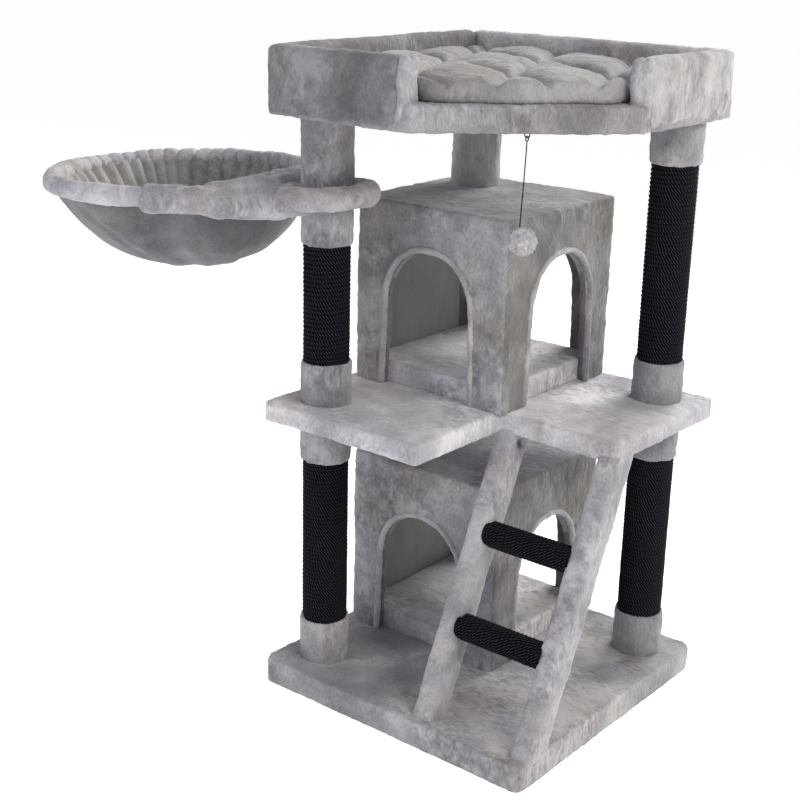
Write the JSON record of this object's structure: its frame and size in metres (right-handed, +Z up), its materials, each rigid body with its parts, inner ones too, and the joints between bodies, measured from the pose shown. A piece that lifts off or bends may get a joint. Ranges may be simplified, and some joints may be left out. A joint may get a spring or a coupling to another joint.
{
  "type": "cat tree",
  "caption": "Plush-covered cat tree: square base, notched shelf and walled bed on rope-wound posts, stacked arched houses, ladder, swinging round hammock and hanging pompom",
  "frame": {"origin": "centre of the base's underside, on the floor", "axes": "+Z up, -Y the front of the houses, +X the side with the ladder's right rail"},
  "size_m": [1.1602, 0.7835, 1.211],
  "materials": {
    "plush": "matte",
    "velvet": "matte",
    "pompom_yarn": "matte",
    "black_rope": "matte",
    "cord": "satin",
    "chipboard": "matte",
    "house_board": "matte",
    "timber": "matte",
    "cardboard_tube": "matte",
    "steel": "satin"
  },
  "bodies": {
    "tree": {"base_board": "chipboard", "base_cover": "plush", "shelf_board": "chipboard", "shelf_cover": "plush", "bed_board": "chipboard", "bed_cover": "plush", "bed_left_wall": "plush", "bed_back_wall": "plush", "bed_right_wall": "plush", "bed_front_wall": "plush", "lower_house_floor": "plush", "lower_house_front_wall": "house_board", "lower_house_side_wall": "house_board", "lower_house_back_wall": "house_board", "lower_house_left_wall": "house_board", "lower_house_roof": "house_board", "lower_house_cover": "plush", "upper_house_floor": "plush", "upper_house_front_wall": "house_board", "upper_house_side_wall": "house_board", "upper_house_back_wall": "house_board", "upper_house_left_wall": "house_board", "upper_house_roof": "house_board", "upper_house_cover": "plush", "hammock_post_lower_tube": "cardboard_tube", "hammock_post_upper_tube": "cardboard_tube", "side_post_lower_tube": "cardboard_tube", "side_post_upper_tube": "cardboard_tube", "rear_post_lower_tube": "cardboard_tube", "rear_post_upper_tube": "cardboard_tube", "hammock_post_lower_rope": "black_rope", "hammock_post_upper_rope": "black_rope", "side_post_lower_rope": "black_rope", "side_post_upper_rope": "black_rope", "hammock_post_sleeves": "plush", "side_post_sleeves": "plush", "rear_post_sleeves": "plush", "tube_plugs": "chipboard", "joining_studs": "steel", "post_bolts": "steel", "bolt_washers": "steel", "board_screws": "steel", "ladder_left_rail": "timber", "ladder_right_rail": "timber", "ladder_left_cover": "plush", "ladder_right_cover": "plush", "ladder_rung_cores": "timber", "upper_rung_rope": "black_rope", "lower_rung_rope": "black_rope", "rung_screws": "steel", "ladder_bolts": "steel", "toy_eye": "steel"},
    "hammock": {"hammock_frame": "steel", "hammock_rim": "plush", "hammock_ring": "plush", "hammock_basket": "velvet"},
    "cushion": {"bed_cushion": "plush"},
    "toy_link": {"toy_loop": "cord"},
    "toy": {"toy_cord": "cord", "toy_pompom": "pompom_yarn"}
  },
  "joints": [
    {"name": "hammock_swing", "type": "hinge", "parent": "tree", "child": "hammock", "pos_m": [-0.224, -0.214, 0.952], "axis": [0, 0, 1], "range_deg": [-14, 128]},
    {"name": "cushion_lift", "type": "slide", "parent": "tree", "child": "cushion", "axis": [0, 0, 1], "range_m": [0, 0.2]},
    {"name": "toy_swing_left_right", "type": "hinge", "parent": "tree", "child": "toy_link", "pos_m": [0.14, -0.135, 1.089], "axis": [0, 1, 0], "range_deg": [-18, 18]},
    {"name": "toy_swing_front_back", "type": "hinge", "parent": "toy_link", "child": "toy", "pos_m": [0.14, -0.135, 1.0826], "axis": [1, 0, 0], "range_deg": [-18, 18]}
  ]
}
